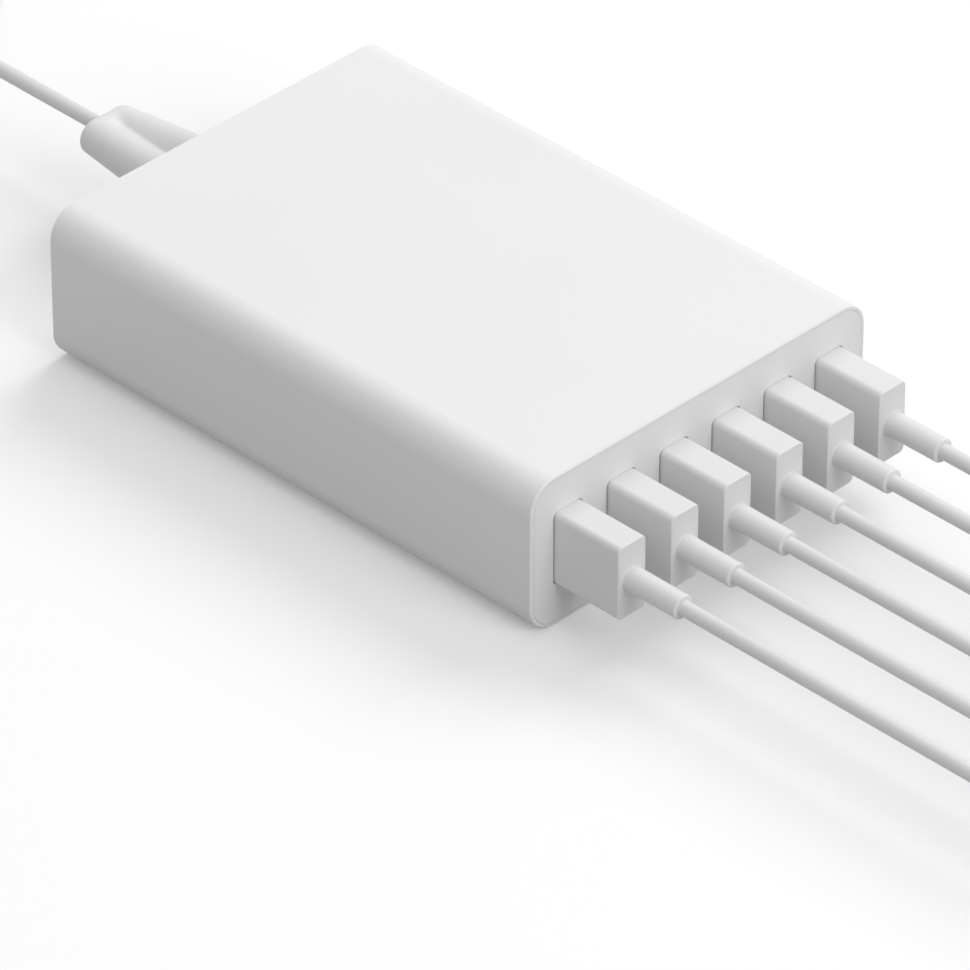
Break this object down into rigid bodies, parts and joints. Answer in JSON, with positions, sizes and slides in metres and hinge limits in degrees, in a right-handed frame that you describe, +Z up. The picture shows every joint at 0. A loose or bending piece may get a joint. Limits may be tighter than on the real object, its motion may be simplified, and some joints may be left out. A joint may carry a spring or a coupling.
{
  "type": "multi port usb desktop charger",
  "caption": "Flat desktop charger with a row of upright USB ports, charging leads plugged in, and a two-lobed mains connector with a thin cord at the rear.",
  "frame": {"origin": "middle of the underside of the housing", "axes": "+X across the front, +Y from the row of ports to the mains inlet, +Z up"},
  "size_m": [0.0694, 0.4566, 0.026],
  "materials": {
    "housing_white": "fine satin moulding",
    "panel_white": "fine satin moulding",
    "plug_white": "smooth moulding",
    "cable_white": "smooth soft sheath",
    "tie_white": "plain",
    "port_steel": "plated",
    "insert_black": "moulded",
    "inlet_black": "moulded",
    "contact_brass": "plated",
    "board_laminate": "solder mask",
    "ferrite": "sintered",
    "winding_tape": "tape",
    "sink_aluminium": "extruded",
    "chip_epoxy": "moulded",
    "film_yellow": "moulded",
    "can_sleeve": "shrink sleeve"
  },
  "bodies": {
    "root": {"bridge_rectifier": "chip_epoxy", "bulk_capacitors": "can_sleeve", "charge_controllers": "chip_epoxy", "cord_tie": "tie_white", "device_plug_1": "plug_white", "device_plug_1_tip": "port_steel", "device_plug_2": "plug_white", "device_plug_2_tip": "port_steel", "device_plug_3": "plug_white", "device_plug_3_tip": "port_steel", "device_plug_4": "plug_white", "device_plug_4_tip": "port_steel", "device_plug_5": "plug_white", "device_plug_5_tip": "port_steel", "device_plug_6": "plug_white", "device_plug_6_tip": "port_steel", "filter_capacitor": "film_yellow", "front_panel": "panel_white", "heat_sink": "sink_aluminium", "housing_sleeve": "housing_white", "line_choke": "ferrite", "main_board": "board_laminate", "mains_connector": "plug_white", "mains_cord": "cable_white", "mains_cord_coil": "cable_white", "mains_cord_tail": "cable_white", "mains_inlet": "inlet_black", "mains_inlet_pins": "contact_brass", "mains_plug": "plug_white", "mains_plug_blades": "contact_brass", "output_capacitors": "can_sleeve", "power_transistor": "chip_epoxy", "rear_panel": "panel_white", "transformer_core": "ferrite", "transformer_winding": "winding_tape", "usb_cable_1": "cable_white", "usb_cable_2": "cable_white", "usb_cable_3": "cable_white", "usb_cable_4": "cable_white", "usb_cable_5": "cable_white", "usb_cable_6": "cable_white", "usb_plug_1": "plug_white", "usb_plug_1_shell": "port_steel", "usb_plug_2": "plug_white", "usb_plug_2_shell": "port_steel", "usb_plug_3": "plug_white", "usb_plug_3_shell": "port_steel", "usb_plug_4": "plug_white", "usb_plug_4_shell": "port_steel", "usb_plug_5": "plug_white", "usb_plug_5_shell": "port_steel", "usb_plug_6": "plug_white", "usb_plug_6_shell": "port_steel", "usb_port_1": "port_steel", "usb_port_2": "port_steel", "usb_port_3": "port_steel", "usb_port_4": "port_steel", "usb_port_5": "port_steel", "usb_port_6": "port_steel", "usb_port_inserts": "insert_black"}
  },
  "joints": []
}
